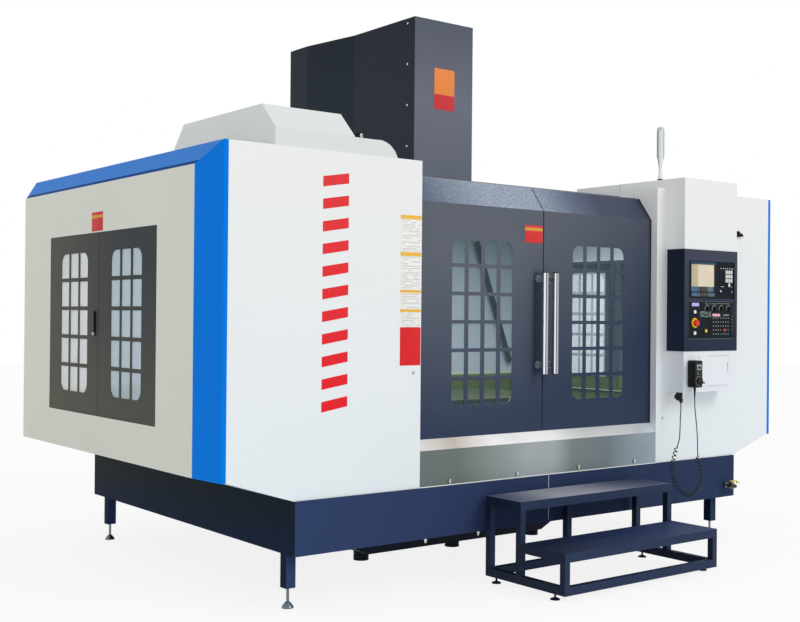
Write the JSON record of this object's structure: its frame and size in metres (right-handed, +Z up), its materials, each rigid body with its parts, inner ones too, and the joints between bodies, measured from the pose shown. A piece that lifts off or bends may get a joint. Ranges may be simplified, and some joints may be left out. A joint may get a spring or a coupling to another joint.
{
  "type": "cnc machining center",
  "caption": "Enclosed vertical machining center with sliding doors, side doors, moving table, spindle head in a covered column, operator console, hand pendant, chip tray and step platform.",
  "frame": {"origin": "on the floor, in the plane of the front panels, where the two front doors meet", "axes": "+X to the right along the front as the operator faces it, +Y back into the machine, +Z up"},
  "size_m": [4.7266, 3.99, 3.656],
  "materials": {
    "side_panel_paint": "satin light grey",
    "front_paint": "satin white",
    "corner_blue": "gloss blue",
    "tray_blue": "dark blue hammered",
    "door_paint": "dark blue grey hammered",
    "column_paint": "dark blue grey",
    "fascia_paint": "navy satin",
    "step_paint": "dark blue",
    "stainless": "brushed bright",
    "grey_sheet": "brushed grey",
    "zinc": "zinc plated",
    "casting": "painted casting",
    "ground_iron": "ground",
    "spindle_steel": "ground steel",
    "pane": "clear laminated",
    "side_leaf_paint": "dark grey with clear panes",
    "handle_chrome": "polished tube",
    "handle_black": "black",
    "unit_black": "dark panel",
    "control_black": "black",
    "stop_red": "red",
    "start_yellow": "yellow",
    "halt_red": "red",
    "cable_black": "black jacket",
    "brass_plated": "nickel plated",
    "lever_yellow": "yellow sleeve",
    "lamp_stack": "lamp stack",
    "disc_aluminium": "satin"
  },
  "bodies": {
    "machine": {"bed": "casting", "column": "casting", "chip_tray": "tray_blue", "tray_feet": "zinc", "left_front_panel": "front_paint", "right_front_panel": "front_paint", "left_side_frame": "corner_blue", "right_side_frame": "corner_blue", "left_side_panel": "side_panel_paint", "right_side_panel": "side_panel_paint", "wing_pans": "front_paint", "roof_panels": "front_paint", "roof_hump": "front_paint", "roof_cover": "front_paint", "rear_panel": "side_panel_paint", "electrical_cabinet": "side_panel_paint", "column_cover": "column_paint", "door_track": "stainless", "door_sill": "stainless", "front_apron": "grey_sheet", "console_box": "front_paint", "console_fascia": "fascia_paint", "display_unit": "unit_black", "operator_panel": "unit_black", "signal_lamp": "lamp_stack", "step_platform": "step_paint", "drain_valve": "brass_plated", "pendant_body": "control_black", "pendant_cable": "cable_black", "pendant_curl": "cable_black", "plug_cable": "cable_black", "cable_plug": "brass_plated"},
    "left_door_leaf": {"left_door": "door_paint", "left_door_window": "pane", "left_door_handle": "handle_chrome"},
    "right_door_leaf": {"right_door": "door_paint", "right_door_window": "pane", "right_door_handle": "handle_chrome"},
    "left_side_leaf_front": {"left_side_door_front": "side_leaf_paint"},
    "left_side_leaf_rear": {"left_side_door_rear": "side_leaf_paint"},
    "left_latch": {"left_side_latch": "handle_black"},
    "right_side_leaf_front": {"right_side_door_front": "side_leaf_paint"},
    "right_side_leaf_rear": {"right_side_door_rear": "side_leaf_paint"},
    "right_latch": {"right_side_latch": "handle_black"},
    "saddle_slide": {"saddle": "casting"},
    "table_slide": {"work_table": "ground_iron"},
    "head_slide": {"spindle_head": "casting"},
    "spindle_rotor": {"spindle": "spindle_steel"},
    "changer_carriage": {"tool_carriage": "casting"},
    "changer_disc": {"tool_carousel": "disc_aluminium"},
    "stop_cap": {"emergency_stop": "stop_red"},
    "start_cap": {"start_button": "start_yellow"},
    "halt_cap": {"halt_button": "halt_red"},
    "knob_1": {"selector_knob_1": "control_black"},
    "knob_2": {"selector_knob_2": "control_black"},
    "knob_3": {"selector_knob_3": "control_black"},
    "knob_4": {"selector_knob_4": "control_black"},
    "flap_door": {"console_flap": "front_paint"},
    "handwheel": {"pendant_handwheel": "control_black"},
    "lever": {"valve_lever": "lever_yellow"}
  },
  "joints": [
    {"name": "left_door_slide", "type": "slide", "parent": "machine", "child": "left_door_leaf", "axis": [-1, 0, 0], "range_m": [0, 0.94]},
    {"name": "right_door_slide", "type": "slide", "parent": "machine", "child": "right_door_leaf", "axis": [1, 0, 0], "range_m": [0, 0.94]},
    {"name": "left_side_door_front_hinge", "type": "hinge", "parent": "machine", "child": "left_side_leaf_front", "pos_m": [-2.345, 0.723, 1.5165], "axis": [0, 0, 1], "range_deg": [0, 110]},
    {"name": "left_side_door_rear_hinge", "type": "hinge", "parent": "machine", "child": "left_side_leaf_rear", "pos_m": [-2.345, 2.301, 1.5165], "axis": [0, 0, -1], "range_deg": [0, 110]},
    {"name": "left_latch_turn", "type": "hinge", "parent": "left_side_leaf_rear", "child": "left_latch", "pos_m": [-2.3588, 1.572, 1.581], "axis": [1, 0, 0], "range_deg": [0, 90]},
    {"name": "right_side_door_front_hinge", "type": "hinge", "parent": "machine", "child": "right_side_leaf_front", "pos_m": [2.345, 0.723, 1.5165], "axis": [0, 0, -1], "range_deg": [0, 110]},
    {"name": "right_side_door_rear_hinge", "type": "hinge", "parent": "machine", "child": "right_side_leaf_rear", "pos_m": [2.345, 2.301, 1.5165], "axis": [0, 0, 1], "range_deg": [0, 110]},
    {"name": "right_latch_turn", "type": "hinge", "parent": "right_side_leaf_rear", "child": "right_latch", "pos_m": [2.3588, 1.572, 1.581], "axis": [1, 0, 0], "range_deg": [0, 90]},
    {"name": "saddle_y", "type": "slide", "parent": "machine", "child": "saddle_slide", "axis": [0, 1, 0], "range_m": [-0.45, 0.45]},
    {"name": "table_x", "type": "slide", "parent": "saddle_slide", "child": "table_slide", "axis": [1, 0, 0], "range_m": [-1, 1]},
    {"name": "head_z", "type": "slide", "parent": "machine", "child": "head_slide", "axis": [0, 0, 1], "range_m": [-0.9, 0]},
    {"name": "spindle_spin", "type": "hinge", "parent": "head_slide", "child": "spindle_rotor", "pos_m": [0, 1.36, 2.08], "axis": [0, 0, 1], "continuous": true},
    {"name": "changer_slide", "type": "slide", "parent": "machine", "child": "changer_carriage", "axis": [1, 0, 0], "range_m": [0, 0.41]},
    {"name": "changer_spin", "type": "hinge", "parent": "changer_carriage", "child": "changer_disc", "pos_m": [-0.74, 1.36, 2.032], "axis": [0, 0, 1], "continuous": true},
    {"name": "stop_press", "type": "slide", "parent": "machine", "child": "stop_cap", "axis": [0, 1, 0], "range_m": [0, 0.005], "stiffness_N_per_m": 700, "springref_m": -0.002},
    {"name": "start_press", "type": "slide", "parent": "machine", "child": "start_cap", "axis": [0, 1, 0], "range_m": [0, 0.003], "stiffness_N_per_m": 500, "springref_m": -0.001},
    {"name": "halt_press", "type": "slide", "parent": "machine", "child": "halt_cap", "axis": [0, 1, 0], "range_m": [0, 0.003], "stiffness_N_per_m": 500, "springref_m": -0.001},
    {"name": "knob_1_turn", "type": "hinge", "parent": "machine", "child": "knob_1", "pos_m": [1.393, -0.144, 1.652], "axis": [0, -1, 0], "range_deg": [-120, 120]},
    {"name": "knob_2_turn", "type": "hinge", "parent": "machine", "child": "knob_2", "pos_m": [1.473, -0.144, 1.652], "axis": [0, -1, 0], "range_deg": [-120, 120]},
    {"name": "knob_3_turn", "type": "hinge", "parent": "machine", "child": "knob_3", "pos_m": [1.549, -0.144, 1.652], "axis": [0, -1, 0], "range_deg": [-120, 120]},
    {"name": "knob_4_turn", "type": "hinge", "parent": "machine", "child": "knob_4", "pos_m": [1.631, -0.144, 1.652], "axis": [0, -1, 0], "range_deg": [-120, 120]},
    {"name": "flap_hinge", "type": "hinge", "parent": "machine", "child": "flap_door", "pos_m": [1.313, -0.1478, 1.2175], "axis": [0, 0, -1], "range_deg": [0, 90]},
    {"name": "handwheel_spin", "type": "hinge", "parent": "machine", "child": "handwheel", "pos_m": [1.221, -0.213, 1.156], "axis": [0, -1, 0], "continuous": true},
    {"name": "valve_turn", "type": "hinge", "parent": "machine", "child": "lever", "pos_m": [1.785, -0.07, 0.409], "axis": [0, 0, -1], "range_deg": [0, 90]}
  ]
}
